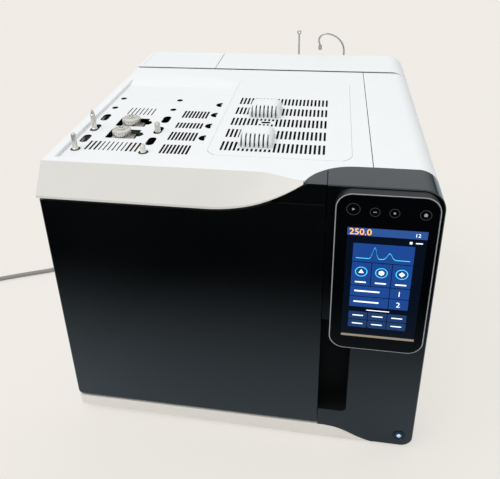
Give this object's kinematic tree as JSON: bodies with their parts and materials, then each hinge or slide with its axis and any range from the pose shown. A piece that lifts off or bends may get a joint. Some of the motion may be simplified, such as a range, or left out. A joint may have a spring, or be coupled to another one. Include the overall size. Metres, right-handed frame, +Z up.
{
  "type": "gas chromatograph",
  "caption": "Bench gas chromatograph with a swing oven door, lift-off slotted top covers, injection ports, detector hoods, a touch console and a mains cord.",
  "frame": {"origin": "middle of the instrument's footprint, on the bench", "axes": "+X to the right as seen from the front, +Y from the door to the back, +Z up"},
  "size_m": [0.9536, 0.7344, 0.4855],
  "materials": {
    "white_paint": "semi-gloss powder coat",
    "white_mould": "fine satin",
    "black_gloss": "gloss",
    "black_satin": "satin",
    "rubber_black": "matte",
    "zinc_sheet": "zinc plated sheet",
    "block_aluminium": "machined, matt",
    "stainless": "brushed",
    "silver_rim": "satin",
    "console_black": "gloss",
    "console_glass": "clear over black print",
    "screen": "lit display",
    "key_black": "gloss",
    "lamp_blue": "lit",
    "mineral_wool": "matte fibre",
    "gasket_silicone": "matte",
    "heater_alloy": "oxidised",
    "motor_paint": "satin",
    "column_fused_silica": "amber coated",
    "port_steel": "machined",
    "post_steel": "bead blasted",
    "hood_white": "satin",
    "board_green": "solder mask",
    "fitting_brass": "turned",
    "line_steel": "drawn tube",
    "cord_grey": "matte"
  },
  "bodies": {
    "chassis": {"feet": "rubber_black", "chassis_frame": "zinc_sheet", "left_side_panel": "white_paint", "right_side_cover": "white_paint", "base_front_trim": "white_mould", "front_fascia": "white_mould", "top_deck": "white_paint", "autosampler_posts": "post_steel", "injection_ports": "port_steel", "detectors": "port_steel", "upper_trim": "black_gloss", "front_panel": "black_gloss", "console_body": "console_black", "console_rim": "silver_rim", "console_glass": "console_glass", "display_panel": "screen", "door_hinges": "stainless", "oven_front_frame": "stainless", "oven_liner": "stainless", "oven_insulation": "mineral_wool", "oven_outer_shell": "zinc_sheet", "oven_baffle": "stainless", "heater_coil": "heater_alloy", "fan_motor": "motor_paint", "capillary_column": "column_fused_silica", "column_cage": "stainless", "exhaust_duct": "zinc_sheet", "main_board": "board_green", "power_supply": "zinc_sheet", "cooling_fan_housing": "black_satin", "rear_panel": "white_paint", "flow_controllers": "block_aluminium", "gas_fittings": "fitting_brass", "gas_lines": "line_steel", "cord_gland": "rubber_black", "power_cord": "cord_grey", "cord_coil": "cord_grey", "cord_plug": "cord_grey"},
    "oven_door": {"door_outer": "black_gloss", "door_back_plate": "stainless", "door_plug": "stainless", "door_insulation": "mineral_wool", "door_gasket": "gasket_silicone"},
    "injection_lid": {"injection_cover": "white_paint"},
    "detector_lid": {"detector_cover": "white_paint"},
    "front_hood": {"detector_hood_front": "hood_white"},
    "rear_hood": {"detector_hood_rear": "hood_white"},
    "front_septum_cap": {"septum_cap_front": "port_steel"},
    "rear_septum_cap": {"septum_cap_rear": "port_steel"},
    "left_flow_cover": {"rear_left_cover": "white_paint"},
    "right_flow_cover": {"rear_right_cover": "white_paint"},
    "power_switch": {"power_button": "black_satin", "power_lamp": "lamp_blue"},
    "start_button": {"start_key": "key_black"},
    "prep_button": {"prep_key": "key_black"},
    "stop_button": {"stop_key": "key_black"},
    "home_button": {"home_key": "key_black"},
    "oven_impeller": {"oven_fan": "stainless"},
    "bay_impeller": {"cooling_fan_rotor": "black_satin"},
    "vent_flap": {"exhaust_flap": "stainless"}
  },
  "joints": [
    {"name": "oven_door_hinge", "type": "hinge", "parent": "chassis", "child": "oven_door", "pos_m": [-0.2495, -0.251, 0.209], "axis": [0, 0, -1], "range_deg": [0, 110]},
    {"name": "injection_cover_lift", "type": "slide", "parent": "chassis", "child": "injection_lid", "axis": [0, 0, 1], "range_m": [0, 0.08]},
    {"name": "detector_cover_lift", "type": "slide", "parent": "chassis", "child": "detector_lid", "axis": [0, 0, 1], "range_m": [0, 0.08]},
    {"name": "front_hood_lift", "type": "slide", "parent": "detector_lid", "child": "front_hood", "axis": [0, 0, 1], "range_m": [0, 0.06]},
    {"name": "rear_hood_lift", "type": "slide", "parent": "detector_lid", "child": "rear_hood", "axis": [0, 0, 1], "range_m": [0, 0.06]},
    {"name": "front_septum_cap_turn", "type": "hinge", "parent": "chassis", "child": "front_septum_cap", "pos_m": [-0.1825, -0.141, 0.44], "axis": [0, 0, -1], "range_deg": [-90, 0]},
    {"name": "rear_septum_cap_turn", "type": "hinge", "parent": "chassis", "child": "rear_septum_cap", "pos_m": [-0.1825, -0.098, 0.44], "axis": [0, 0, -1], "range_deg": [-90, 0]},
    {"name": "left_flow_cover_lift", "type": "slide", "parent": "chassis", "child": "left_flow_cover", "axis": [0, 0, 1], "range_m": [0, 0.08]},
    {"name": "right_flow_cover_lift", "type": "slide", "parent": "chassis", "child": "right_flow_cover", "axis": [0, 0, 1], "range_m": [0, 0.08]},
    {"name": "power_button_press", "type": "slide", "parent": "chassis", "child": "power_switch", "axis": [0, 1, 0], "range_m": [0, 0.0015], "stiffness_N_per_m": 900, "springref_m": -0.001},
    {"name": "start_key_press", "type": "slide", "parent": "chassis", "child": "start_button", "axis": [0, 1, 0], "range_m": [0, 0.0006], "stiffness_N_per_m": 800, "springref_m": -0.0008},
    {"name": "prep_key_press", "type": "slide", "parent": "chassis", "child": "prep_button", "axis": [0, 1, 0], "range_m": [0, 0.0006], "stiffness_N_per_m": 800, "springref_m": -0.0008},
    {"name": "stop_key_press", "type": "slide", "parent": "chassis", "child": "stop_button", "axis": [0, 1, 0], "range_m": [0, 0.0006], "stiffness_N_per_m": 800, "springref_m": -0.0008},
    {"name": "home_key_press", "type": "slide", "parent": "chassis", "child": "home_button", "axis": [0, 1, 0], "range_m": [0, 0.0006], "stiffness_N_per_m": 800, "springref_m": -0.0008},
    {"name": "oven_fan_spin", "type": "hinge", "parent": "chassis", "child": "oven_impeller", "pos_m": [-0.06925, 0, 0.215], "axis": [0, 1, 0], "continuous": true},
    {"name": "cooling_fan_spin", "type": "hinge", "parent": "chassis", "child": "bay_impeller", "pos_m": [0.1825, 0.242, 0.2], "axis": [0, 1, 0], "continuous": true},
    {"name": "exhaust_flap_swing", "type": "hinge", "parent": "chassis", "child": "vent_flap", "pos_m": [-0.16925, 0.033, 0.3055], "axis": [1, 0, 0], "range_deg": [0, 70]}
  ]
}
